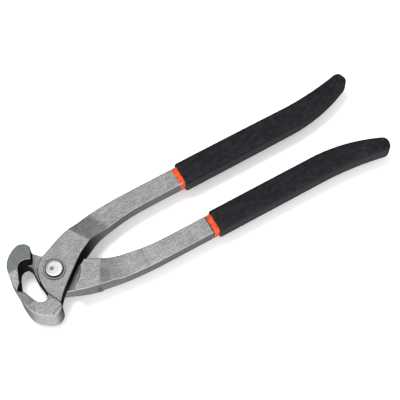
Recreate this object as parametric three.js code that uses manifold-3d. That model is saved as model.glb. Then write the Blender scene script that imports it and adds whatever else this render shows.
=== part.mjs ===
// Hoof nipper: two identical drop-forged levers, lapped on each other and joined by one rivet,
// with end-cutting jaws at one end and double-dipped grips at the other.
//
// Millimetres. While a piece is made, the pivot is at the origin, +Z runs along the rivet and +X
// along the tool's centre line towards the handles. The upper lever's handle is on the +Y side and
// its jaw on the -Y side. The lower lever is the same forging turned over about X.

import * as THREE from 'three';
import { mergeVertices } from 'three/addons/utils/BufferGeometryUtils.js';
import Module from 'manifold-3d';

const wasm = await Module();
wasm.setup();

// ---- Driving dimensions ------------------------------------------------------------------------

const reinReach = 227.5;        // pivot to the end of the dipped handle
const jawReach = 26;            // pivot to the cutting edge
const reinSpread = 19.4;        // tool's centre line to a rein's centre line, jaws closed
const barWidth = 12.4;          // bare rein, in the plane of the tool
const barThickness = 10;
const neckLength = 62;          // pivot to where the reins run parallel

const plateHeight = 10.6;       // mid plane to the outer face of a joint plate
const shoulderHeight = 8.8;     // mid plane to the top of the shoulder beside the other plate
const shoulderRadius = 15.5;    // arc of the shoulder, concentric with the rivet
const shoulderStart = 70;       // degrees from the centre line to the shoulder's outer end
const footTop = 5.5;            // height of the forging's wider foot beside the shoulder
const jawHalfWidth = 10.2;      // half of the jaw's width along the rivet's axis
const tipEaseLength = 12;       // stretch beside the cutting edge over which the end faces fall away
const tipEaseDrop = 1.6;         // how far they fall at the cutting edge
const cornerSlope = 0.9;        // fall of the facet ground on the jaw's root corner
const cornerTurn = THREE.MathUtils.degToRad(-58);
const cornerPlace = [-10.3, -22.5];

const rampStart = 26.8;         // along the neck: where the joint's full height begins to fall
const rampLength = 18;
const rampTurn = THREE.MathUtils.degToRad(30);  // the ramp lies square to the neck

const rivetDiameter = 8;
const rivetHeadDiameter = 11.6;
const rivetHeadHeight = 1.7;
const rivetHeadFlat = 5;        // small flat left on the dome by the riveting set
const washerDiameter = 13.8;
const washerThickness = 0.8;

const collarStart = 98.4;       // pivot to where the orange undercoat begins
const collarLength = 3.5;       // undercoat left showing beside the black grip
const undercoatThickness = 0.5;
const gripThickness = 1;
const flareLength = 50;         // stretch of rein that curves outwards at its end
const flareOut = 7.1;
const endTaper = 2.7;           // loss of half width along the flare
const noseStretch = 1.13;       // length of the round end over its half width
const tangEdge = 2.2;           // rounding of the rein's edges inside the dip

const lapGap = 0.3;             // between the two lapped plates
const boreClearance = 0.2;      // rivet and washers to the levers, on the radius or the face
const edgeGap = 0.2;            // between the closed cutting edges
const dipClearance = 0.2;       // steel to undercoat, and undercoat to grip

// ---- Shared shape helpers ----------------------------------------------------------------------

// A closed geometry as a solid that can be joined and cut.
function solid(geometry) {
  const bare = geometry.clone();
  bare.deleteAttribute('normal');
  bare.deleteAttribute('uv');
  const merged = mergeVertices(bare, 1e-4);
  const vertProperties = new Float32Array(merged.attributes.position.array);
  const triVerts = new Uint32Array(merged.index.array);
  return new wasm.Manifold(new wasm.Mesh({ numProp: 3, vertProperties, triVerts }));
}

// A solid back as a geometry, for a mesh.
function geometryOf(body) {
  const mesh = body.getMesh();
  const geometry = new THREE.BufferGeometry();
  geometry.setAttribute('position', new THREE.BufferAttribute(mesh.vertProperties, 3));
  geometry.setIndex(new THREE.BufferAttribute(mesh.triVerts, 1));
  geometry.computeVertexNormals();
  return geometry;
}

// A plan outline raised from one height to another.
function slab(shape, low, high) {
  const geometry = new THREE.ExtrudeGeometry(shape, { depth: high - low, bevelEnabled: false });
  return geometry.translate(0, 0, low);
}

// A plan outline raised to half a thickness each way, with all its edges rounded.
function roundedSlab(shape, halfThickness, edge, steps) {
  const geometry = new THREE.ExtrudeGeometry(shape, {
    depth: 2 * (halfThickness - edge),
    bevelThickness: edge,
    bevelSize: edge,
    bevelOffset: -edge,
    bevelSegments: steps,
  });
  return geometry.translate(0, 0, edge - halfThickness);
}

function points(pairs) {
  return pairs.map(([x, y]) => new THREE.Vector2(x, y));
}

// Points along a smooth curve through a few given ones.
function smooth(pairs, steps) {
  return new THREE.SplineCurve(points(pairs)).getPoints(steps);
}

// ---- The rein's centre line, which the tang, the undercoat and the grip all follow --------------

const tangRadius = barWidth / 2 - endTaper;
const gripInside = undercoatThickness + dipClearance;
const coatBuild = gripInside + gripThickness;
const flareEnd = reinReach - noseStretch * (tangRadius + coatBuild);
const flareStart = reinReach - flareLength;

function flareShare(x) {
  return Math.max(0, (x - flareStart) / (flareEnd - flareStart));
}

function centreLine(x) {
  return reinSpread + flareOut * flareShare(x) ** 2;
}

function centreTurn(x) {
  return Math.atan(2 * flareOut * flareShare(x) / (flareEnd - flareStart));
}

function halfWidth(x) {
  return barWidth / 2 - endTaper * flareShare(x) ** 2;
}

// Plan outline of the rein from one station to its round end, grown by a coat's thickness.
function reinOutline(from, grow) {
  const flareSteps = 12;
  const endSteps = 14;
  const stations = [from];
  for (let i = 0; i <= flareSteps; i += 1) {
    stations.push(flareStart + (flareEnd - flareStart) * i / flareSteps);
  }
  const side = (sign) => stations.map((x) => {
    const reach = sign * (halfWidth(x) + grow);
    const turn = centreTurn(x);
    return new THREE.Vector2(x - reach * Math.sin(turn), centreLine(x) + reach * Math.cos(turn));
  });
  const end = [];
  for (let i = 1; i < endSteps; i += 1) {
    const angle = Math.PI * (i / endSteps - 0.5);
    const onNose = new THREE.Vector2(noseStretch * Math.cos(angle), Math.sin(angle));
    onNose.multiplyScalar(halfWidth(flareEnd) + grow);
    onNose.rotateAround(new THREE.Vector2(), centreTurn(flareEnd));
    end.push(onNose.add(new THREE.Vector2(flareEnd, centreLine(flareEnd))));
  }
  return new THREE.Shape([...side(-1), ...end, ...side(1).reverse()]);
}

// ---- Forged lever ------------------------------------------------------------------------------

const barInner = reinSpread - barWidth / 2;
const barOuter = reinSpread + barWidth / 2;
const barEnd = collarStart - dipClearance;      // the bare bar stops just short of the undercoat
const fullRise = [-shoulderHeight, plateHeight];

// Where the inner edge of the neck turns off the shoulder.
const reliefCorner = [shoulderRadius + 3.6, 1.8];

// The neck's inner edge, from the bar back to the shoulder.
function innerEdge() {
  return smooth([
    [barEnd, barInner],
    [neckLength + 10, barInner],
    [neckLength - 4, barInner - 0.6],
    [46, 10.8],
    [36, 9.1],
    [28, 6.5],
    reliefCorner,
  ], 26);
}

// The two ends of the step between the joint plate and the jaw's end face.
const throatEnd = [-10.9, -11.7];
const backEnd = [-6.8, -21];

// The outer edge of plate and neck, from the throat round the rivet and out to the bar.
function outerEdge() {
  return smooth([
    throatEnd,
    [-11.3, -6.5],
    [-11.1, -1],
    [-9.4, 4.7],
    [-5.1, 10],
    [4.8, 14.5],
    [13.5, 18],
    [21.6, 20.2],
    [33, 23.5],
    [42, 24.7],
    [52, barOuter - 0.3],
    [neckLength, barOuter],
    [barEnd, barOuter],
  ], 72);
}

// The outer edge is shared out between plate and neck at its first point past the shoulder.
const outer = outerEdge();
const pastThroat = outer.findIndex((point) => point.x > 0);
const split = outer.findIndex((point, i) => i > pastThroat && point.length() > shoulderRadius + 0.2);

// Plan of the joint plate, which is the half of the lever that laps the other one.
function plateOutline() {
  const jawSide = smooth([
    reliefCorner,
    [12.5, -3.4],
    [5, -9.6],
    [-0.9, -14.7],
    [-4.4, -18.4],
    backEnd,
  ], 16);
  const step = smooth([backEnd, [-7.7, -17.7], [-9.2, -14.7], throatEnd], 8);
  const insideNeck = [shoulderRadius + 4.5, 12];
  return new THREE.Shape([
    ...jawSide,
    ...step.slice(1),
    ...outer.slice(1, split + 1),
    ...points([insideNeck]),
  ]);
}

// Plan of the web that carries the jaw under the end of the plate.
function webOutline() {
  return new THREE.Shape(points([
    [-2.5, -14],
    [-4.9, -18.2],
    backEnd,
    [-8.5, -22],
    [-13, -18],
    [-12.3, -14.2],
    throatEnd,
    [-8, -8],
  ]));
}

function polar(radius, angle) {
  return [radius * Math.cos(angle), radius * Math.sin(angle)];
}

function shoulderArc(from, to) {
  const steps = 14;
  const arc = [];
  for (let i = 0; i <= steps; i += 1) {
    arc.push(polar(shoulderRadius, from + (to - from) * i / steps));
  }
  return points(arc);
}

// Plan of the neck and rein, which have the full height from the shoulder outwards.
function neckOutline() {
  const arcFrom = THREE.MathUtils.degToRad(17);
  const arcTo = outer[split].angle();
  return new THREE.Shape([
    ...innerEdge(),
    ...shoulderArc(arcFrom, arcTo),
    ...outer.slice(split),
  ]);
}

// Plan of the forging's wider foot, which stands out under the neck's edge beside the shoulder.
function footOutline() {
  const start = THREE.MathUtils.degToRad(shoulderStart);
  const heel = THREE.MathUtils.degToRad(shoulderStart + 6);
  return new THREE.Shape([
    ...points([[33, 19], [13, 13.5], polar(shoulderRadius, start)]),
    ...smooth([
      polar(shoulderRadius + 2.8, heel),
      [12.5, shoulderRadius + 4.7],
      [22, shoulderRadius + 6.4],
      [33, shoulderRadius + 7.1],
    ], 14),
  ]);
}

// Jaw in plan: a hooked crescent that ends in the cutting edge on the tool's centre line.
function jawOutline() {
  const tip = -jawReach;
  const back = smooth([
    [-6.2, -21.2],
    [-7.8, -23.9],
    [-10.9, -25.6],
    [-14.3, -25.6],
    [tip + 6.2, -22.6],
    [tip + 1.9, -17.8],
    [tip + 0.2, -12.6],
    [tip - 0.4, -6.4],
    [tip, -edgeGap / 2],
  ], 34);
  const throat = smooth([
    [tip + 3.6, -3.6],
    [tip + 4.9, -7.2],
    [tip + 7.2, -12.7],
    [tip + 9.8, -14.9],
    [-13.3, -15],
    [-9.6, -13.6],
  ], 22);
  return new THREE.Shape([...back, ...throat]);
}

// What the falling ramp takes off one face of neck and rein; face is 1 above and -1 below.
function rampCutter(fullHeight, face) {
  const barHalf = barThickness / 2;
  const above = fullHeight + 5;
  const knee = fullHeight - (fullHeight - barHalf) * 0.6;
  const profile = new THREE.Shape();
  profile.moveTo(rampStart, face * above);
  profile.lineTo(rampStart, face * fullHeight);
  profile.bezierCurveTo(
    rampStart + rampLength * 0.35, face * knee,
    rampStart + rampLength * 0.7, face * barHalf,
    rampStart + rampLength, face * barHalf,
  );
  profile.lineTo(2 * reinReach, face * barHalf);
  profile.lineTo(2 * reinReach, face * above);
  profile.closePath();
  const depth = 4 * reinReach;
  const geometry = new THREE.ExtrudeGeometry(profile, {
    depth,
    bevelEnabled: false,
    curveSegments: 10,
  });
  geometry.translate(0, 0, -depth / 2);
  geometry.rotateX(Math.PI / 2);
  return geometry.rotateZ(rampTurn);
}

// What is ground off one end face of the jaw beside its cutting edge.
function tipCutter(face) {
  const beyond = 5;
  const slope = tipEaseDrop / tipEaseLength;
  const profile = new THREE.Shape(points([
    [-tipEaseLength, face * jawHalfWidth],
    [beyond, face * (jawHalfWidth - tipEaseDrop - slope * beyond)],
    [beyond, face * (jawHalfWidth + beyond)],
    [-tipEaseLength, face * (jawHalfWidth + beyond)],
  ]));
  const depth = 2 * jawReach;
  const geometry = new THREE.ExtrudeGeometry(profile, { depth, bevelEnabled: false });
  geometry.rotateX(Math.PI / 2);
  geometry.rotateZ(Math.PI / 2);
  return geometry.translate(-depth, 0, 0);
}

// What is ground off the jaw's root corner on the plate's side.
function cornerCutter() {
  const reach = 8;
  const profile = new THREE.Shape(points([
    [0, jawHalfWidth],
    [reach, jawHalfWidth - cornerSlope * reach],
    [reach, 2 * jawHalfWidth],
    [0, 2 * jawHalfWidth],
  ]));
  const depth = 2 * reach;
  const geometry = new THREE.ExtrudeGeometry(profile, { depth, bevelEnabled: false });
  geometry.translate(0, 0, -depth / 2);
  geometry.rotateX(Math.PI / 2);
  geometry.rotateZ(cornerTurn);
  return geometry.translate(...cornerPlace, 0);
}

function cylinderSolid(radius, low, high) {
  const geometry = new THREE.CylinderGeometry(radius, radius, high - low, 48);
  geometry.rotateX(Math.PI / 2);
  return solid(geometry.translate(0, 0, (low + high) / 2));
}

function leverGeometry() {
  const plate = solid(slab(plateOutline(), lapGap / 2, plateHeight));
  const neck = solid(slab(neckOutline(), ...fullRise));
  const foot = solid(slab(footOutline(), -shoulderHeight, footTop - shoulderHeight));
  const forged = neck.add(foot)
    .add(plate)
    .subtract(solid(rampCutter(plateHeight, 1)))
    .subtract(solid(rampCutter(shoulderHeight, -1)));
  const jaw = solid(slab(jawOutline(), -jawHalfWidth, jawHalfWidth))
    .add(solid(slab(webOutline(), lapGap / 2, jawHalfWidth)))
    .subtract(solid(cornerCutter()))
    .subtract(solid(tipCutter(1)))
    .subtract(solid(tipCutter(-1)));
  const tangHalf = barThickness / 2 - dipClearance;
  const tang = solid(roundedSlab(reinOutline(neckLength, -dipClearance), tangHalf, tangEdge, 3));
  const bore = cylinderSolid(rivetDiameter / 2 + boreClearance, -plateHeight, 2 * plateHeight);
  return geometryOf(forged.add(jaw).add(tang).subtract(bore));
}

// ---- Rivet and washers -------------------------------------------------------------------------

const washerFace = plateHeight + boreClearance;
const headFace = washerFace + washerThickness + boreClearance;

// One rivet: a plain shank with a low domed head set at each end.
function rivetGeometry() {
  const domeSteps = 6;
  const headRadius = rivetHeadDiameter / 2;
  const flatRadius = rivetHeadFlat / 2;
  const rimHeight = rivetHeadHeight * 0.35;
  const head = [[rivetDiameter / 2, headFace], [headRadius, headFace]];
  for (let i = 0; i <= domeSteps; i += 1) {
    const angle = (Math.PI / 2) * i / domeSteps;
    const radius = flatRadius + (headRadius - flatRadius) * Math.cos(angle);
    head.push([radius, headFace + rimHeight + (rivetHeadHeight - rimHeight) * Math.sin(angle)]);
  }
  const top = [...head, [0, headFace + rivetHeadHeight]];
  const bottom = top.map(([radius, height]) => [radius, -height]).reverse();
  return new THREE.LatheGeometry(points([...bottom, ...top]), 48).rotateX(Math.PI / 2);
}

function washerGeometry() {
  const disc = cylinderSolid(washerDiameter / 2, washerFace, washerFace + washerThickness);
  const hole = cylinderSolid(rivetDiameter / 2 + boreClearance, 0, 2 * washerFace);
  return geometryOf(disc.subtract(hole));
}

// ---- Dipped grips ------------------------------------------------------------------------------

// A coat with a closed round end, open where the rein leaves it. The hollow starts before the
// coat does, by a mouth that keeps its own rounded corners clear of the coat.
function coatGeometry(from, innerGrow, thickness) {
  const outerGrow = innerGrow + thickness;
  const mouth = 3;
  const outerBar = reinOutline(from, outerGrow);
  const innerBar = reinOutline(from - mouth - tangEdge - innerGrow, innerGrow);
  const halfBar = barThickness / 2;
  const skin = solid(roundedSlab(outerBar, halfBar + outerGrow, tangEdge + outerGrow, 4));
  const hollow = solid(roundedSlab(innerBar, halfBar + innerGrow, tangEdge + innerGrow, 4));
  return geometryOf(skin.subtract(hollow));
}

function undercoatGeometry() {
  return coatGeometry(collarStart, 0, undercoatThickness);
}

function gripGeometry() {
  return coatGeometry(collarStart + collarLength, gripInside, gripThickness);
}

// ---- Assembly ----------------------------------------------------------------------------------

const forgedSteel = new THREE.MeshStandardMaterial({ color: 0xb4b4b2, roughness: 0.42, metalness: 1 });
const brightSteel = new THREE.MeshStandardMaterial({ color: 0xe4e4e4, roughness: 0.18, metalness: 1 });
const orangeDip = new THREE.MeshStandardMaterial({ color: 0xe8501e, roughness: 0.3, metalness: 0 });
const blackDip = new THREE.MeshStandardMaterial({ color: 0x1c1c1f, roughness: 0.55, metalness: 0 });

function named(name, geometry, material) {
  const mesh = new THREE.Mesh(geometry, material);
  mesh.name = name;
  return mesh;
}

// One half of the tool: a lever with its washer and its two coats.
function half(prefix) {
  const group = new THREE.Group();
  group.add(named(`${prefix}_lever`, leverGeometry(), forgedSteel));
  group.add(named(`${prefix}_washer`, washerGeometry(), brightSteel));
  group.add(named(`${prefix}_undercoat`, undercoatGeometry(), orangeDip));
  group.add(named(`${prefix}_grip`, gripGeometry(), blackDip));
  return group;
}

const tool = new THREE.Group();
const lowerHalf = half('lower');
lowerHalf.rotation.x = Math.PI;
tool.add(half('upper'), lowerHalf, named('pivot_rivet', rivetGeometry(), brightSteel));

// The row's origin is the middle of the tool's footprint, at the height it rests on.
const bounds = new THREE.Box3().setFromObject(tool, true);
tool.position.set(
  -(bounds.min.x + bounds.max.x) / 2,
  -(bounds.min.y + bounds.max.y) / 2,
  -bounds.min.z,
);

export default tool;
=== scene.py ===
import math

import bmesh
import bpy
from mathutils import Matrix, Vector
from mathutils.kdtree import KDTree


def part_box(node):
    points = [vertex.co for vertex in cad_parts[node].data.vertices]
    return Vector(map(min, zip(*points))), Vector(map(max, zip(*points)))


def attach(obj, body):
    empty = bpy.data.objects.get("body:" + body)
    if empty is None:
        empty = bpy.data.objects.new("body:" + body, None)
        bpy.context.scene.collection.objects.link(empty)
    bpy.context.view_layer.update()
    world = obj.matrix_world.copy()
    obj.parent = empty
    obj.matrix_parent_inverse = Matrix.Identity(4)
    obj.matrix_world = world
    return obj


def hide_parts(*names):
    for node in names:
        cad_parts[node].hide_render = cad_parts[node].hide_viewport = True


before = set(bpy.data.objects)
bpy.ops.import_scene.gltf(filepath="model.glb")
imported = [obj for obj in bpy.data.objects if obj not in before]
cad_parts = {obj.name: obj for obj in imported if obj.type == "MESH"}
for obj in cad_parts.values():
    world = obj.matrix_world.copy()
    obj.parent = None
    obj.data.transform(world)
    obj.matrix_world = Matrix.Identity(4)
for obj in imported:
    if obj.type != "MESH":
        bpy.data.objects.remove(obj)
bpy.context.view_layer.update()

# ---- Forged levers -----------------------------------------------------------------------------
# Two identical drop forgings in tool steel, the lower one turned over about the tool's length.
# Their flats and the jaws' outsides are ground to a speckled satin grey, and the forged side walls
# are darker. All outer edges are broken, and black painted shade lies round the joint and in the
# throat.

MM = 0.001
EDGE_BREAK = 0.55 * MM          # width of the bevel along an outer edge
EDGE_ANGLE = math.radians(32)   # a sharper turn than this is an edge to break
FLAT_ANGLE = math.radians(0.3)  # faces that turn less than this are one flat
MERGE_GAP = 0.05 * MM
SLIVER = 0.02 * MM
EDGE_STEP = 0.15 * MM
BREAK_REACH = 0.7 * EDGE_BREAK  # the bevel's inner rows lie this near the sharp edge
UPRIGHT = 0.5                   # a face's normal along the rivet: below this it is a side wall,
LEVEL = 0.6                     # above this it is ground,
TRUE_LEVEL = 0.996              # and above this it lies square to the rivet
OUTER_SIDE = 0.2                # a wall's normal across the tool: above this it is an outer wall

FLAT_GREY = (0.74, 0.74, 0.73, 1)
FLAT_SHADE = (0.13, 0.13, 0.127, 1)
WALL_GREY = (0.165, 0.162, 0.158, 1)
# Painted shade on the jaw end face away from its own plate.
FAR_JAW_SHADE = (0.20, 0.23, 0.22, 1)
EDGE_GREY = (0.40, 0.40, 0.395, 1)
# Painted shade is this black.
SHADE_BLACK = (0.012, 0.012, 0.011, 1)
# The third and fourth masks mark painted shade.
LEVER_MASKS = ("broken_edge", "ground_face", "far_jaw_shade", "painted_shade")

rivet_low, rivet_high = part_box("pivot_rivet")
PIVOT = (rivet_low + rivet_high) / 2
JAW_ROOT = PIVOT.x - 7 * MM
THROAT = PIVOT + Vector((-17 * MM, 0, 0))
FULL_SHADE_REACH = 22 * MM           # from the rivet: side walls carry full painted black shade to here, and no painted shade from here
NO_SHADE_REACH = 40 * MM           # and clean from here
PLATE_FACE = 10.35 * MM         # just under a joint plate's face, from the middle of the tool
PLATE_BACK = -6.5 * MM          # the painted shade along the outline runs round the plate's back from here, and along its outer side to here
PLATE_FRONT = 12 * MM           # and along its outer side to here


def node(tree, kind, inputs=None, **settings):
    """A node with its settings made, and its inputs set to values or joined to sockets."""
    made = tree.nodes.new(kind)
    for name, value in settings.items():
        setattr(made, name, value)
    for name, value in (inputs or {}).items():
        if isinstance(value, bpy.types.NodeSocket):
            tree.links.new(value, made.inputs[name])
        else:
            made.inputs[name].default_value = value
    return made


def maths(tree, operation, *values, clamp=False):
    inputs = dict(enumerate(values))
    return node(
        tree, "ShaderNodeMath", inputs, operation=operation, use_clamp=clamp).outputs[0]


def ramp(tree, value, low, high):
    """0 below low and 1 above high, with a soft turn between them."""
    made = node(
        tree,
        "ShaderNodeMapRange",
        {"Value": value, "From Min": low, "From Max": high},
        interpolation_type="SMOOTHSTEP",
    )
    return made.outputs["Result"]


def mix_colour(tree, share, first, second):
    colour_a, colour_b, result = 6, 7, 2
    inputs = {"Factor": share, colour_a: first, colour_b: second}
    return node(tree, "ShaderNodeMix", inputs, data_type="RGBA").outputs[result]


def new_material(name, display):
    material = bpy.data.materials.new(name)
    material.use_nodes = True
    material.diffuse_color = display
    tree = material.node_tree
    tree.nodes.clear()
    shader = node(tree, "ShaderNodeBsdfPrincipled")
    output = node(tree, "ShaderNodeOutputMaterial")
    tree.links.new(shader.outputs[0], output.inputs["Surface"])
    return material, tree, shader


def new_group(name, kind, inputs, outputs):
    """A node group with named sockets; each is a name, a type and, for inputs, a value."""
    group = bpy.data.node_groups.new(name, kind)
    for socket, socket_type, value in inputs:
        made = group.interface.new_socket(socket, in_out="INPUT", socket_type=socket_type)
        if value is not None:
            made.default_value = value
    for socket, socket_type in outputs:
        group.interface.new_socket(socket, in_out="OUTPUT", socket_type=socket_type)
    given = group.nodes.new("NodeGroupInput").outputs
    out = group.nodes.new("NodeGroupOutput").inputs
    return group, given, out


def use_group(tree, group, inputs):
    return node(tree, "ShaderNodeGroup", inputs, node_tree=group).outputs


def mask(tree, name):
    """A mask painted on the mesh, as a value."""
    return node(tree, "ShaderNodeAttribute", attribute_name=name).outputs["Fac"]


def relief(tree, shader, height, strength, depth):
    """A bump of some depth on a shader."""
    bump = node(
        tree, "ShaderNodeBump", {"Strength": strength, "Distance": depth, "Height": height})
    tree.links.new(bump.outputs[0], shader.inputs["Normal"])


def metal_grain():
    """Fine speckle, belt marks along X and a slow cloud, each from 0 to 1."""
    group, given, out = new_group(
        "metal_grain",
        "ShaderNodeTree",
        [
            ("Vector", "NodeSocketVector", (0, 0, 0)),
            ("Speckle Scale", "NodeSocketFloat", 1500),
            ("Mark Scale", "NodeSocketFloat", 2200),
            ("Mark Stretch", "NodeSocketFloat", 12),
        ],
        [
            ("Speckle", "NodeSocketFloat"),
            ("Marks", "NodeSocketFloat"),
            ("Cloud", "NodeSocketFloat"),
        ],
    )
    speckle = node(
        group,
        "ShaderNodeTexNoise",
        {
            "Vector": given["Vector"],
            "Scale": given["Speckle Scale"],
            "Detail": 3,
            "Roughness": 0.6,
        },
    )
    parts = node(group, "ShaderNodeSeparateXYZ", {0: given["Vector"]})
    along = maths(group, "DIVIDE", parts.outputs[0], given["Mark Stretch"])
    stretched = node(
        group,
        "ShaderNodeCombineXYZ",
        {0: along, 1: parts.outputs[1], 2: parts.outputs[2]},
    )
    marks = node(
        group,
        "ShaderNodeTexNoise",
        {
            "Vector": stretched.outputs[0],
            "Scale": given["Mark Scale"],
            "Detail": 2,
            "Roughness": 0.7,
        },
    )
    cloud = node(
        group,
        "ShaderNodeTexNoise",
        {"Vector": given["Vector"], "Scale": 110, "Detail": 4, "Roughness": 0.6},
    )
    for name, source in (("Speckle", speckle), ("Marks", marks), ("Cloud", cloud)):
        group.links.new(ramp(group, source.outputs["Fac"], 0.3, 0.7), out[name])
    return group


grain_group = metal_grain()


def forged_steel():
    """Speckled flats, darker walls, painted shade on the jaw end faces away from their own plate,
    pale broken edges, and painted black shade round the joint, in the throat and on edges facing
    +Y."""
    material, tree, shader = new_material("forged_steel", FLAT_GREY)
    on_piece = node(tree, "ShaderNodeTexCoord").outputs
    grain = use_group(tree, grain_group, {"Vector": on_piece["Object"]})
    edge, ground, far, shade_mask = (mask(tree, name) for name in LEVER_MASKS)
    mottle = 0.0
    for layer, share in (("Speckle", 0.55), ("Marks", 0.25), ("Cloud", 0.2)):
        mottle = maths(tree, "MULTIPLY_ADD", grain[layer], share, mottle)
    flat = mix_colour(tree, mottle, FLAT_SHADE, FLAT_GREY)
    tone = mix_colour(tree, ground, WALL_GREY, flat)
    # Painted shade: each jaw's end face away from its own plate is painted a darker, cooler grey.
    tone = mix_colour(tree, maths(tree, "MULTIPLY", far, 0.75), tone, FAR_JAW_SHADE)
    tone = mix_colour(tree, maths(tree, "MULTIPLY", edge, 0.6), tone, EDGE_GREY)
    # Painted shade: broken edges facing +Y are painted black, like a reflection of the dim back of
    # the room.
    sideways = node(tree, "ShaderNodeSeparateXYZ", {0: on_piece["Normal"]}).outputs[1]
    back_edge_shade = maths(tree, "MULTIPLY", edge, ramp(tree, sideways, 0.1, 0.4))
    painted_shade = maths(tree, "MAXIMUM", shade_mask, back_edge_shade)
    # Painted black shade goes over the tone: round the joint, in the throat, on plate outlines and
    # on edges facing +Y.
    tree.links.new(mix_colour(tree, painted_shade, tone, SHADE_BLACK), shader.inputs["Base Color"])
    rough = maths(tree, "MULTIPLY_ADD", grain["Cloud"], 0.08, 0.34)
    rough = maths(tree, "MULTIPLY_ADD", ground, -0.04, rough)
    rough = maths(tree, "MULTIPLY_ADD", painted_shade, 0.45, rough)
    tree.links.new(maths(tree, "MULTIPLY_ADD", edge, -0.14, rough), shader.inputs["Roughness"])
    relief(tree, shader, mottle, strength=0.5, depth=0.05 * MM)
    shader.inputs["Metallic"].default_value = 1
    return material


steel = forged_steel()


def link(piece):
    bpy.context.scene.collection.objects.link(piece)
    return piece


def smooth_piece(work, name):
    """A mesh being worked on, finished as a smooth-shaded piece."""
    for face in work.faces:
        face.smooth = True
    mesh = bpy.data.meshes.new(name)
    work.to_mesh(mesh)
    work.free()
    return link(bpy.data.objects.new(name, mesh))


def finished(piece):
    """What a piece's modifiers make of it, as its own plain mesh."""
    made = bpy.data.meshes.new_from_object(
        piece.evaluated_get(bpy.context.evaluated_depsgraph_get()))
    piece.modifiers.clear()
    piece.data = made
    return made


def paint(mesh, name, values):
    """A mask on a mesh, one value for each vertex."""
    mesh.attributes.new(name, "FLOAT", "POINT").data.foreach_set("value", values)


def plate_outline(spot, turn):
    """Whether a spot is on the outline of the joint plate's top, where black shade is painted."""
    x, y, z = spot - PIVOT
    beside_plate = x < PLATE_BACK or (x < PLATE_FRONT and turn * y > 0)
    return turn * z > PLATE_FACE and beside_plate


def faces_outwards(face):
    """Whether a face of a jaw looks away from the throat."""
    return (face.center - THROAT).xy.dot(face.normal.xy) > 0


def wall_shade(face, turn):
    """How black a side wall is painted as shade, from 1 near the rivet to 0 far out."""
    if face.center.x < JAW_ROOT:
        return 0.0 if faces_outwards(face) else 1.0
    if turn * face.normal.y > OUTER_SIDE:
        return 0.0
    reach = (face.center - PIVOT).xy.length
    return min(1.0, max(0.0, (NO_SHADE_REACH - reach) / (NO_SHADE_REACH - FULL_SHADE_REACH)))


def edge_points(work):
    """Close points along the outer edges of a solid, as a search tree."""
    spots = []
    for edge in work.edges:
        if edge.is_manifold and edge.is_convex and edge.calc_face_angle(0) > EDGE_ANGLE:
            a, b = (v.co for v in edge.verts)
            steps = 1 + int((a - b).length / EDGE_STEP)
            spots.extend(a.lerp(b, i / steps) for i in range(steps + 1))
    tree = KDTree(len(spots))
    for i, spot in enumerate(spots):
        tree.insert(spot, i)
    tree.balance()
    return tree


def broken_edge_piece(source, name, turn):
    """A CAD solid again, with its flats as single faces and its outer edges broken."""
    work = bmesh.new()
    work.from_mesh(source.data)
    bmesh.ops.remove_doubles(work, verts=work.verts, dist=MERGE_GAP)
    bmesh.ops.dissolve_degenerate(work, dist=SLIVER, edges=work.edges)
    bmesh.ops.dissolve_limit(work, angle_limit=FLAT_ANGLE, verts=work.verts, edges=work.edges)
    corners = edge_points(work)
    piece = smooth_piece(work, name)
    bevel = piece.modifiers.new("edge break", "BEVEL")
    bevel.width = EDGE_BREAK
    bevel.segments = 3
    bevel.limit_method = "ANGLE"
    bevel.angle_limit = EDGE_ANGLE
    bevel.use_clamp_overlap = False
    weighted = piece.modifiers.new("flat faces", "WEIGHTED_NORMAL")
    weighted.keep_sharp = False
    paint_lever(finished(piece), corners, turn)
    return piece


def paint_lever(mesh, corners, turn):
    """The masks that say where a lever is broken, ground or painted with shade, and its steel."""
    masks = {name: [0.0] * len(mesh.vertices) for name in LEVER_MASKS}
    edge, ground, far, painted_shade = masks.values()
    for i, vertex in enumerate(mesh.vertices):
        spot, _, distance = corners.find(vertex.co)
        # Painted shade: edge spots on a joint plate's outline are painted black instead of pale.
        if distance < BREAK_REACH:
            (painted_shade if plate_outline(spot, turn) else edge)[i] = 1.0
    for face in mesh.polygons:
        on_jaw = face.center.x < JAW_ROOT
        # Painted shade: side walls near the joint and the throat's walls are painted black.
        black = wall_shade(face, turn) if abs(face.normal.z) < UPRIGHT else 0.0
        for i in face.vertices:
            painted_shade[i] = max(painted_shade[i], black)
            if abs(face.normal.z) > LEVEL or (on_jaw and faces_outwards(face)):
                ground[i] = 1.0
            # Painted shade on the jaw end face away from the lever's own plate.
            if on_jaw and -turn * face.normal.z > TRUE_LEVEL:
                far[i] = 1.0
    for name, values in masks.items():
        paint(mesh, name, values)
    mesh.materials.clear()
    mesh.materials.append(steel)


def place(piece, half, cad_node):
    """A finished piece rides on one half of the tool and stands for its CAD solid."""
    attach(piece, f"{half}_half")
    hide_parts(cad_node)


HALVES = (("upper", 1), ("lower", -1))

for half, turn in HALVES:
    lever = broken_edge_piece(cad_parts[f"{half}_lever"], f"{half}_forged_lever", turn)
    place(lever, half, f"{half}_lever")

# ---- Rivet and washers -------------------------------------------------------------------------
# One mild steel rivet through both plates, its heads set cold over a thin washer at each face.
# The set leaves a low bright dome with a small dull dimple beside its middle.

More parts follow.
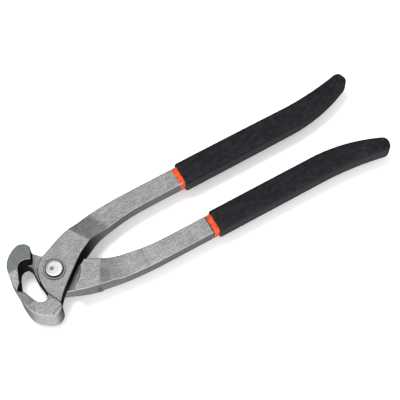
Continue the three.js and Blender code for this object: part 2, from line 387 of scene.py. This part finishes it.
HEAD_RADIUS = (rivet_high.x - rivet_low.x) / 2
HEAD_HEIGHT = 1.7 * MM
HEAD_EDGE = 0.25 * MM
RIM_SHARE = 0.35                # part of a head's height that is its upright rim
DOME_FLATNESS = 9
DOME_FULLNESS = 0.6
DOME_STEPS = 40
SHANK_RADIUS = 4.0 * MM
DIMPLE_PLACE = (-1.5 * MM, 0.7 * MM)
DIMPLE_RADIUS = 2.0 * MM
DIMPLE_DEPTH = 0.22 * MM
BRIGHT_STEEL = (0.92, 0.92, 0.91, 1)
DULL_STEEL = (0.36, 0.36, 0.36, 1)
RIM_START = 0.9                 # share of the head's radius where the painted black shade at its rim begins
WASHER_EDGE = 0.3 * MM
WASHER_RIM = 0.6 * WASHER_EDGE
BORE_CLEARANCE = 0.2 * MM
ROUND_STEPS = 96
ROUND_GAP = 0.001 * MM


def bright_steel():
    """Polished by the set, duller in the dimples and on the washers, with painted black shade at
    the rims.
    """
    material, tree, shader = new_material("bright_steel", BRIGHT_STEEL)
    spot = node(tree, "ShaderNodeTexCoord").outputs["Object"]
    grain = use_group(tree, grain_group, {"Vector": spot, "Mark Scale": 3000, "Mark Stretch": 5})
    dull, painted_shade = mask(tree, "dull"), mask(tree, "painted_shade")
    tone = mix_colour(tree, maths(tree, "MULTIPLY", grain["Marks"], 0.3), BRIGHT_STEEL, DULL_STEEL)
    tone = mix_colour(tree, dull, tone, DULL_STEEL)
    # Painted black shade at the rivet's rims and the washers' outer edges.
    tree.links.new(mix_colour(tree, painted_shade, tone, SHADE_BLACK), shader.inputs["Base Color"])
    rough = maths(tree, "MULTIPLY_ADD", grain["Cloud"], 0.06, 0.2)
    tree.links.new(maths(tree, "MULTIPLY_ADD", dull, 0.16, rough), shader.inputs["Roughness"])
    relief(tree, shader, grain["Marks"], strength=0.25, depth=0.03 * MM)
    shader.inputs["Metallic"].default_value = 1
    return material


bright = bright_steel()


def rounded(profile, radius, steps=5):
    """A profile's corners turned into arcs; its first and last points stay."""
    most_of_a_side = 0.45
    path = [profile[0]]
    for before, corner, after in zip(profile, profile[1:], profile[2:]):
        corner = Vector(corner)
        back, ahead = Vector(before) - corner, Vector(after) - corner
        reach = min(radius, back.length * most_of_a_side, ahead.length * most_of_a_side)
        start, end = corner + back.normalized() * reach, corner + ahead.normalized() * reach
        for i in range(steps + 1):
            t = i / steps
            path.append(tuple(
                start * (1 - t) ** 2 + corner * 2 * t * (1 - t) + end * t ** 2))
    return path + [profile[-1]]


def lathe(name, profile, closed):
    """A profile of radius and height turned round the rivet's axis, as a closed solid."""
    work = bmesh.new()
    rings = []
    for radius, height in profile:
        ring = []
        for i in range(ROUND_STEPS):
            angle = 2 * math.pi * i / ROUND_STEPS
            ring.append(work.verts.new(
                (PIVOT.x + radius * math.cos(angle), PIVOT.y + radius * math.sin(angle), height)))
        rings.append(ring)
    pairs = list(zip(rings, rings[1:]))
    if closed:
        pairs.append((rings[-1], rings[0]))
    for low, high in pairs:
        for i in range(ROUND_STEPS):
            j = (i + 1) % ROUND_STEPS
            work.faces.new((low[i], low[j], high[j], high[i]))
    bmesh.ops.remove_doubles(work, verts=work.verts, dist=ROUND_GAP)
    bmesh.ops.recalc_face_normals(work, faces=work.faces)
    piece = smooth_piece(work, name)
    piece.data.materials.append(bright)
    return piece


def head_profile():
    """One head from the shank out, round its rim and over the dome to the middle."""
    foot = rivet_high.z - HEAD_HEIGHT
    rim = foot + RIM_SHARE * HEAD_HEIGHT
    profile = rounded([(SHANK_RADIUS, foot), (HEAD_RADIUS, foot), (HEAD_RADIUS, rim)], HEAD_EDGE)
    for i in range(1, DOME_STEPS + 1):
        radius = HEAD_RADIUS * math.cos(0.5 * math.pi * i / DOME_STEPS)
        rise = (1 - (radius / HEAD_RADIUS) ** DOME_FLATNESS) ** DOME_FULLNESS
        profile.append((radius, rim + (rivet_high.z - rim) * rise))
    return profile


def rivet():
    """Both heads and the shank in one solid, with a dimple in each head and painted black shade at
    its rim.
    """
    top = head_profile()
    middle = rivet_high.z / 2
    bottom = [(radius, 2 * middle - height) for radius, height in reversed(top)]
    piece = lathe("set_rivet", bottom + top, False)
    mesh = piece.data
    dull, painted_shade = ([0.0] * len(mesh.vertices) for _ in range(2))
    dimple = Vector((PIVOT.x + DIMPLE_PLACE[0], PIVOT.y + DIMPLE_PLACE[1]))
    for i, vertex in enumerate(mesh.vertices):
        out_from_axis = (vertex.co.xy - PIVOT.xy).length / HEAD_RADIUS
        # Painted shade: the head's rim is painted black.
        painted_shade[i] = 1.0 if out_from_axis > RIM_START else 0.0
        inward = 1 if vertex.co.z < middle else -1
        share = (vertex.co.xy - dimple).length / DIMPLE_RADIUS
        if share < 1 and abs(vertex.co.z - middle) > middle - HEAD_HEIGHT:
            dent = (1 + math.cos(math.pi * share)) / 2
            vertex.co.z += inward * DIMPLE_DEPTH * dent
            dull[i] = min(1.0, 2.0 * dent)
    paint(mesh, "dull", dull)
    paint(mesh, "painted_shade", painted_shade)
    place(piece, "upper", "pivot_rivet")


rivet()

for half, _ in HALVES:
    low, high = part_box(f"{half}_washer")
    outer, inner = (high.x - low.x) / 2, SHANK_RADIUS + BORE_CLEARANCE
    section = [(inner, low.z), (outer, low.z), (outer, high.z), (inner, high.z)]
    around = rounded([section[-1], *section, section[0]], WASHER_EDGE)[1:-1]
    washer = lathe(f"{half}_rivet_washer", around, True)
    radii = [(vertex.co.xy - PIVOT.xy).length for vertex in washer.data.vertices]
    paint(washer.data, "dull", [1.0] * len(radii))
    # Painted shade: the washer's outer edge is painted black.
    paint(washer.data, "painted_shade", [float(outer - r < WASHER_RIM) for r in radii])
    place(washer, "upper", f"{half}_washer")

# ---- Dipped coats on the reins -----------------------------------------------------------------
# Each rein is dipped twice in soft vinyl: first orange, then black a little less deep, so that a
# glossy orange collar shows beside the black grip. A coat runs round the flared end in one skin
# and ends in a rounded lip. The upper rein went in a little deeper, and its grip swelled more.

COLLAR_START = 98.4 * MM
COLLAR_LENGTH = 3.5 * MM
UNDERCOAT = 0.5 * MM
UNDERCOAT_WAVES = 0.03 * MM
GRIP = 1.0 * MM
GRIP_WAVES = 0.08 * MM
GRIP_INSIDE = 0.7 * MM          # steel to the inside of the grip, over the undercoat
GRIP_SWELL = {"upper": 0.4 * MM, "lower": 0.1 * MM}
DIPPED_DEEPER = {"upper": 2.6 * MM, "lower": 0.0}
REIN = {
    "Half Width": 6.2 * MM,
    "Half Height": 5.0 * MM,
    "Spread": 19.4 * MM,
    "Flare Start": 177.5 * MM,
    "Flare Out": 7.1 * MM,
    "End Taper": 2.7 * MM,
    "Nose Stretch": 1.13,
    "Rein Reach": 227.5 * MM,
}
ORANGE = (0.72, 0.085, 0.008, 1)
ORANGE_DEEP = (0.40, 0.028, 0.003, 1)
BLACK = (0.0008, 0.001, 0.0018, 1)
BLACK_WORN = (0.036, 0.038, 0.044, 1)
LIP_SHARE = 0.08                # parts of the skin's grid: the lip ends here,
BODY_SHARE = 0.72               # and the round nose begins here
LIP_STRETCH = 1.5               # length of a lip over its coat's thickness
SWELL_LENGTH = 90 * MM
SECTION_POWER = 0.37            # 1 is an ellipse, and 0 a square
CORNER_CROWDING = -0.2          # draws the grid's lines towards the section's corners
NOSE_FULLNESS = 3.2
SKIN_ROWS = 261
SKIN_COLUMNS = 97
SKIN_GAP = 0.002 * MM
SCUFFS_START = PIVOT.x + 190 * MM
SCUFFS_FULL = PIVOT.x + 228 * MM


def combine(tree, x, y, z):
    return node(tree, "ShaderNodeCombineXYZ", {0: x, 1: y, 2: z}).outputs[0]


class Sums:
    """Sums on a tree's values, each made by one Math node."""

    def __init__(self, tree):
        self.tree = tree

    def plus(self, a, b):
        return maths(self.tree, "ADD", a, b)

    def minus(self, a, b):
        return maths(self.tree, "SUBTRACT", a, b)

    def times(self, a, b):
        return maths(self.tree, "MULTIPLY", a, b)

    def times_plus(self, a, b, c):
        return maths(self.tree, "MULTIPLY_ADD", a, b, c)

    def share(self, part, whole):
        """A part over a whole, held between 0 and 1."""
        return maths(self.tree, "DIVIDE", part, whole, clamp=True)

    def power(self, a, b):
        return maths(self.tree, "POWER", a, b)

    def sine(self, angle):
        return maths(self.tree, "SINE", angle)

    def cosine(self, angle):
        return maths(self.tree, "COSINE", angle)

    def size(self, a):
        return maths(self.tree, "ABSOLUTE", a)

    def sign(self, a):
        return maths(self.tree, "SIGN", a)


def squared_off(sums, swing):
    """A cosine or sine pushed out towards a square with round corners."""
    return sums.times(sums.sign(swing), sums.power(sums.size(swing), SECTION_POWER))


def coat_lip(sums, given, signed, run):
    """The lip: which side of the coat a point is on, its height over the steel and its place."""
    angle = sums.times(sums.share(run, LIP_SHARE), math.pi / 2)
    side = sums.times(sums.sign(signed), sums.sine(angle))
    half_wall = sums.times(given["Thickness"], 0.5)
    height = sums.times_plus(side, half_wall, sums.plus(given["Inside"], half_wall))
    length = sums.times(given["Thickness"], LIP_STRETCH)
    x = sums.times_plus(sums.minus(1.0, sums.cosine(angle)), length, given["Mouth"])
    return side, height, length, x


def flare_span(sums, given):
    """Where the flare ends, which leaves room for the round nose, and how long it is."""
    end_half = sums.minus(given["Half Width"], given["End Taper"])
    nose = sums.times(sums.plus(end_half, given["Full Build"]), given["Nose Stretch"])
    end = sums.minus(given["Rein Reach"], nose)
    return end, sums.minus(end, given["Flare Start"])


def swelling(sums, given, x, side):
    """How much the outside of a coat stands further out near its mouth."""
    faded = sums.share(sums.minus(x, given["Mouth"]), given["Swell Length"])
    left = sums.minus(1.0, sums.times(faded, faded))
    outer = maths(sums.tree, "MAXIMUM", side, 0.0)
    return sums.times(sums.times(left, outer), given["Swell"])


def coat_points(group, given, signed, around):
    """Places for a grid: along it the skin's length, inside then out, and across it its girth."""
    sums = Sums(group)
    run = sums.size(signed)
    side, height, lip_length, lip_x = coat_lip(sums, given, signed, run)
    flare_end, flare_length = flare_span(sums, given)
    body = sums.share(sums.minus(run, LIP_SHARE), BODY_SHARE - LIP_SHARE)
    body_length = sums.minus(sums.minus(flare_end, given["Mouth"]), lip_length)
    x = sums.times_plus(body, body_length, lip_x)
    grow = sums.plus(height, swelling(sums, given, x, side))

    past = sums.share(sums.minus(x, given["Flare Start"]), flare_length)
    past_squared = sums.times(past, past)
    centre = sums.times_plus(past_squared, given["Flare Out"], given["Spread"])
    rise = sums.times(sums.times(past, given["Flare Out"]), 2.0)
    bend = maths(group, "ARCTANGENT", maths(group, "DIVIDE", rise, flare_length))
    taper = sums.times(past_squared, given["End Taper"])
    half = sums.plus(sums.minus(given["Half Width"], taper), grow)
    tall = sums.plus(given["Half Height"], grow)

    nose = sums.times(sums.share(sums.minus(run, BODY_SHARE), 1 - BODY_SHARE), math.pi / 2)
    nose_run = sums.sine(nose)
    reach = sums.times(sums.times(nose_run, half), given["Nose Stretch"])
    fallen = sums.power(nose_run, NOSE_FULLNESS)
    upright = sums.power(maths(group, "SUBTRACT", 1.0, fallen, clamp=True), 1 / NOSE_FULLNESS)

    circle = sums.times(around, 2 * math.pi)
    crowding = sums.times(sums.sine(sums.times(circle, 4.0)), CORNER_CROWDING)
    angle = sums.plus(circle, crowding)
    across = sums.times(
        squared_off(sums, sums.cosine(angle)), sums.times(half, sums.cosine(nose)))
    up = sums.times(squared_off(sums, sums.sine(angle)), sums.times(tall, upright))

    sine, cosine = sums.sine(bend), sums.cosine(bend)
    plan_x = sums.minus(sums.times_plus(reach, cosine, x), sums.times(across, sine))
    plan_y = sums.times_plus(across, cosine, sums.times_plus(reach, sine, centre))
    from_pivot = combine(
        group, plan_x, sums.times(plan_y, given["Turn"]), sums.times(up, given["Turn"]))
    return node(
        group, "ShaderNodeVectorMath", {0: from_pivot, 1: given["Pivot"]}, operation="ADD",
    ).outputs[0]


def waved(group, given, geometry):
    """The outside of a coat lifted and sunk a little, as a dip sets."""
    sums = Sums(group)
    noise = node(
        group,
        "ShaderNodeTexNoise",
        {
            "Vector": node(group, "GeometryNodeInputPosition").outputs[0],
            "W": given["Seed"],
            "Scale": 120.0,
            "Detail": 2.0,
        },
        noise_dimensions="4D",
    )
    wave = sums.times(sums.minus(noise.outputs["Fac"], 0.5), 2.0)
    outside = node(
        group, "GeometryNodeInputNamedAttribute", {"Name": "outside"}, data_type="FLOAT")
    lift = sums.times(sums.times(wave, given["Waves"]), outside.outputs["Attribute"])
    offset = node(
        group,
        "ShaderNodeVectorMath",
        {0: node(group, "GeometryNodeInputNormal").outputs[0], "Scale": lift},
        operation="SCALE",
    )
    return node(
        group,
        "GeometryNodeSetPosition",
        {"Geometry": geometry, "Offset": offset.outputs[0]},
    ).outputs[0]


def dip_coat_tree():
    """A coat over a rein: a closed skin from its inner end, round its lip, to its outer end."""
    group, given, out = new_group(
        "dip_coat",
        "GeometryNodeTree",
        [
            ("Geometry", "NodeSocketGeometry", None),
            *((name, "NodeSocketFloat", value) for name, value in REIN.items()),
            ("Mouth", "NodeSocketFloat", COLLAR_START),
            ("Inside", "NodeSocketFloat", 0.0),
            ("Thickness", "NodeSocketFloat", UNDERCOAT),
            ("Full Build", "NodeSocketFloat", GRIP_INSIDE + GRIP),
            ("Swell", "NodeSocketFloat", 0.0),
            ("Swell Length", "NodeSocketFloat", SWELL_LENGTH),
            ("Waves", "NodeSocketFloat", 0.0),
            ("Turn", "NodeSocketFloat", 1.0),
            ("Pivot", "NodeSocketVector", (0, 0, 0)),
            ("Finish", "NodeSocketMaterial", None),
            ("Seed", "NodeSocketFloat", 0.0),
        ],
        [("Geometry", "NodeSocketGeometry")],
    )
    grid = node(
        group,
        "GeometryNodeMeshGrid",
        {"Size X": 2.0, "Size Y": 1.0, "Vertices X": SKIN_ROWS, "Vertices Y": SKIN_COLUMNS},
    )
    on_grid = node(group, "GeometryNodeInputPosition").outputs[0]
    signed, around, _ = node(group, "ShaderNodeSeparateXYZ", {0: on_grid}).outputs
    shaped = node(
        group,
        "GeometryNodeSetPosition",
        {
            "Geometry": grid.outputs["Mesh"],
            "Position": coat_points(group, given, signed, around),
        },
    )
    marked = node(
        group,
        "GeometryNodeStoreNamedAttribute",
        {
            "Geometry": shaped.outputs[0],
            "Name": "outside",
            "Value": ramp(group, signed, 0.0, 2 * LIP_SHARE),
        },
        data_type="FLOAT",
        domain="POINT",
    )
    merged = node(
        group,
        "GeometryNodeMergeByDistance",
        {"Geometry": marked.outputs[0], "Distance": SKIN_GAP},
    )
    skin = waved(group, given, merged.outputs[0])
    smooth = node(group, "GeometryNodeSetShadeSmooth", {"Geometry": skin})
    real = node(group, "GeometryNodeRealizeInstances", {"Geometry": smooth.outputs[0]})
    coated = node(
        group,
        "GeometryNodeSetMaterial",
        {"Geometry": real.outputs[0], "Material": given["Finish"]},
    )
    group.links.new(coated.outputs[0], out["Geometry"])
    return group


coat_tree = dip_coat_tree()


def dip_coat(name, settings):
    """A coat made by the tree, with its inputs set by name."""
    piece = link(bpy.data.objects.new(name, bpy.data.meshes.new(name)))
    coat = piece.modifiers.new("dip coat", "NODES")
    coat.node_group = coat_tree
    for socket in coat_tree.interface.items_tree:
        if socket.name in settings:
            coat[socket.identifier] = settings[socket.name]
    finished(piece)
    return piece


def vinyl_surface():
    """Mottle drawn out along the rein and fine pebble of a vinyl skin, each from 0 to 1."""
    group, given, out = new_group(
        "vinyl_surface",
        "ShaderNodeTree",
        [
            ("Vector", "NodeSocketVector", (0, 0, 0)),
            ("Pebble Scale", "NodeSocketFloat", 900),
            ("Mottle Scale", "NodeSocketFloat", 520),
        ],
        [("Mottle", "NodeSocketFloat"), ("Pebble", "NodeSocketFloat")],
    )
    stretched = node(
        group,
        "ShaderNodeVectorMath",
        {0: given["Vector"], 1: (0.45, 1, 1)},
        operation="MULTIPLY",
    )
    mottle = node(
        group,
        "ShaderNodeTexNoise",
        {
            "Vector": stretched.outputs[0],
            "Scale": given["Mottle Scale"],
            "Detail": 5,
            "Roughness": 0.65,
        },
    )
    pebble = node(
        group,
        "ShaderNodeTexNoise",
        {"Vector": given["Vector"], "Scale": given["Pebble Scale"], "Detail": 2},
    )
    group.links.new(ramp(group, mottle.outputs["Fac"], 0.32, 0.72), out["Mottle"])
    group.links.new(ramp(group, pebble.outputs["Fac"], 0.3, 0.7), out["Pebble"])
    return group


vinyl_group = vinyl_surface()


def orange_dip():
    """Glossy orange vinyl, a little uneven in depth."""
    material, tree, shader = new_material("orange_dip", ORANGE)
    spot = node(tree, "ShaderNodeTexCoord").outputs["Object"]
    vinyl = use_group(tree, vinyl_group, {"Vector": spot})
    tone = mix_colour(tree, vinyl["Mottle"], ORANGE_DEEP, ORANGE)
    tree.links.new(tone, shader.inputs["Base Color"])
    rough = maths(tree, "MULTIPLY_ADD", vinyl["Mottle"], 0.08, 0.16)
    tree.links.new(rough, shader.inputs["Roughness"])
    relief(tree, shader, vinyl["Mottle"], strength=0.25, depth=0.05 * MM)
    return material


def black_dip():
    """Satin black vinyl, faintly mottled and pebbled, with pale scuffs at the rein's end."""
    material, tree, shader = new_material("black_dip", BLACK)
    spot = node(tree, "ShaderNodeTexCoord").outputs["Object"]
    vinyl = use_group(tree, vinyl_group, {"Vector": spot})
    parts = node(tree, "ShaderNodeSeparateXYZ", {0: spot})
    worn_end = ramp(tree, parts.outputs[0], SCUFFS_START, SCUFFS_FULL)
    scuffs = node(
        tree,
        "ShaderNodeTexNoise",
        {"Vector": spot, "Scale": 320, "Detail": 6, "Roughness": 0.7},
    )
    scuffed = maths(tree, "MULTIPLY", ramp(tree, scuffs.outputs["Fac"], 0.55, 0.75), worn_end)
    wear = maths(tree, "MULTIPLY_ADD", vinyl["Mottle"], 0.26, 0.1)
    rubbed = maths(tree, "ADD", wear, scuffed, clamp=True)
    tree.links.new(mix_colour(tree, rubbed, BLACK, BLACK_WORN), shader.inputs["Base Color"])
    rough = maths(tree, "MULTIPLY_ADD", vinyl["Mottle"], 0.16, 0.38)
    tree.links.new(
        maths(tree, "MULTIPLY_ADD", scuffed, 0.2, rough), shader.inputs["Roughness"])
    height = maths(tree, "MULTIPLY_ADD", vinyl["Pebble"], 0.4, vinyl["Mottle"])
    relief(tree, shader, height, strength=0.45, depth=0.08 * MM)
    shader.inputs["Specular IOR Level"].default_value = 0.16
    return material


orange, black = orange_dip(), black_dip()

for half, turn in HALVES:
    start = COLLAR_START - DIPPED_DEEPER[half]
    shared = {"Turn": float(turn), "Pivot": PIVOT, "Seed": float(turn)}
    undercoat = dip_coat(f"{half}_dipped_undercoat", {
        **shared,
        "Mouth": start,
        "Inside": 0.0,
        "Thickness": UNDERCOAT,
        "Waves": UNDERCOAT_WAVES,
        "Finish": orange,
    })
    place(undercoat, half, f"{half}_undercoat")
    grip = dip_coat(f"{half}_dipped_grip", {
        **shared,
        "Mouth": start + COLLAR_LENGTH,
        "Inside": GRIP_INSIDE,
        "Thickness": GRIP,
        "Waves": GRIP_WAVES,
        "Swell": GRIP_SWELL[half],
        "Finish": black,
    })
    place(grip, half, f"{half}_grip")

# ---- Floor, light and camera -------------------------------------------------------------------
# A plain white floor under two soft lights above and a little behind the tool. The room is bright
# in front of it, on the left, and dim behind, which is what the bare steel shows.

FLOOR_WHITE = (0.92, 0.92, 0.92, 1)
FLOOR_HALF = 3.0
FLOOR_GLOW = 0.2
SKY_WHITE = (1, 1, 1, 1)
SKY_BRIGHT = 1.1
SKY_DARK = 0.13
SKY_BACK = 0.3
SKY_FRONT = Vector((-0.6, -0.75, 0.1)).normalized()
CAMERA_AZIMUTH = math.radians(-29.31)
CAMERA_ELEVATION = math.radians(66.40)
CAMERA_ROLL = math.radians(-0.58)
CAMERA_DISTANCE = 0.8818
CAMERA_AIM = Vector((0.00099, -0.00194, 0.018))
LENS = 126                      # in millimetres, as the camera has it,
SENSOR = 36                     # and so is this

floor_mesh = bpy.data.meshes.new("floor")
floor_mesh.from_pydata(
    [(FLOOR_HALF * x, FLOOR_HALF * y, 0) for x, y in ((-1, -1), (1, -1), (1, 1), (-1, 1))],
    [],
    [(0, 1, 2, 3)],
)
floor = link(bpy.data.objects.new("floor", floor_mesh))
floor.visible_glossy = False
floor_material, _, floor_shader = new_material("floor_white", FLOOR_WHITE)
floor_shader.inputs["Base Color"].default_value = FLOOR_WHITE
floor_shader.inputs["Roughness"].default_value = 0.9
floor_shader.inputs["Emission Color"].default_value = SKY_WHITE
floor_shader.inputs["Emission Strength"].default_value = FLOOR_GLOW
floor_mesh.materials.append(floor_material)


def soft_light(name, spot, side, power):
    """A square lamp that points at the middle of the tool."""
    light = bpy.data.lights.new(name, "AREA")
    light.size = side
    light.energy = power
    lamp = bpy.data.objects.new(name, light)
    lamp.location = spot
    lamp.rotation_euler = (-Vector(spot)).to_track_quat("-Z", "Y").to_euler()
    return link(lamp)


soft_light("overhead", (0.15, 0.3, 1.25), side=0.5, power=0.7)
key = soft_light("key", (-0.12, 0.33, 1.25), side=0.35, power=14)
key.visible_glossy = False


def studio_world():
    """A room that is bright in front of the tool, dim behind it and darkest underfoot."""
    world = bpy.data.worlds.new("studio")
    world.use_nodes = True
    tree = world.node_tree
    towards = node(tree, "ShaderNodeTexCoord").outputs["Generated"]
    facing = node(
        tree,
        "ShaderNodeVectorMath",
        {0: towards, 1: SKY_FRONT},
        operation="DOT_PRODUCT",
    )
    share = ramp(tree, facing.outputs["Value"], -0.25, 0.4)
    height = node(tree, "ShaderNodeSeparateXYZ", {0: towards}).outputs[2]
    above = ramp(tree, height, -0.05, 0.25)
    dim = maths(tree, "MULTIPLY_ADD", above, SKY_BACK, SKY_DARK)
    strength = maths(tree, "MULTIPLY_ADD", share, SKY_BRIGHT, dim)
    tree.links.new(strength, tree.nodes["Background"].inputs["Strength"])
    tree.nodes["Background"].inputs["Color"].default_value = SKY_WHITE
    return world


bpy.context.scene.world = studio_world()
bpy.context.scene.view_settings.view_transform = "Standard"

camera_data = bpy.data.cameras.new("camera")
camera_data.lens = LENS
camera_data.sensor_width = SENSOR
camera = link(bpy.data.objects.new("camera", camera_data))
back = Vector((
    math.sin(CAMERA_AZIMUTH) * math.cos(CAMERA_ELEVATION),
    -math.cos(CAMERA_AZIMUTH) * math.cos(CAMERA_ELEVATION),
    math.sin(CAMERA_ELEVATION),
))
camera.location = CAMERA_AIM + back * CAMERA_DISTANCE
facing = (-back).to_track_quat("-Z", "Y").to_matrix()
camera.rotation_euler = (facing @ Matrix.Rotation(CAMERA_ROLL, 3, "Z")).to_euler()
bpy.context.scene.camera = camera
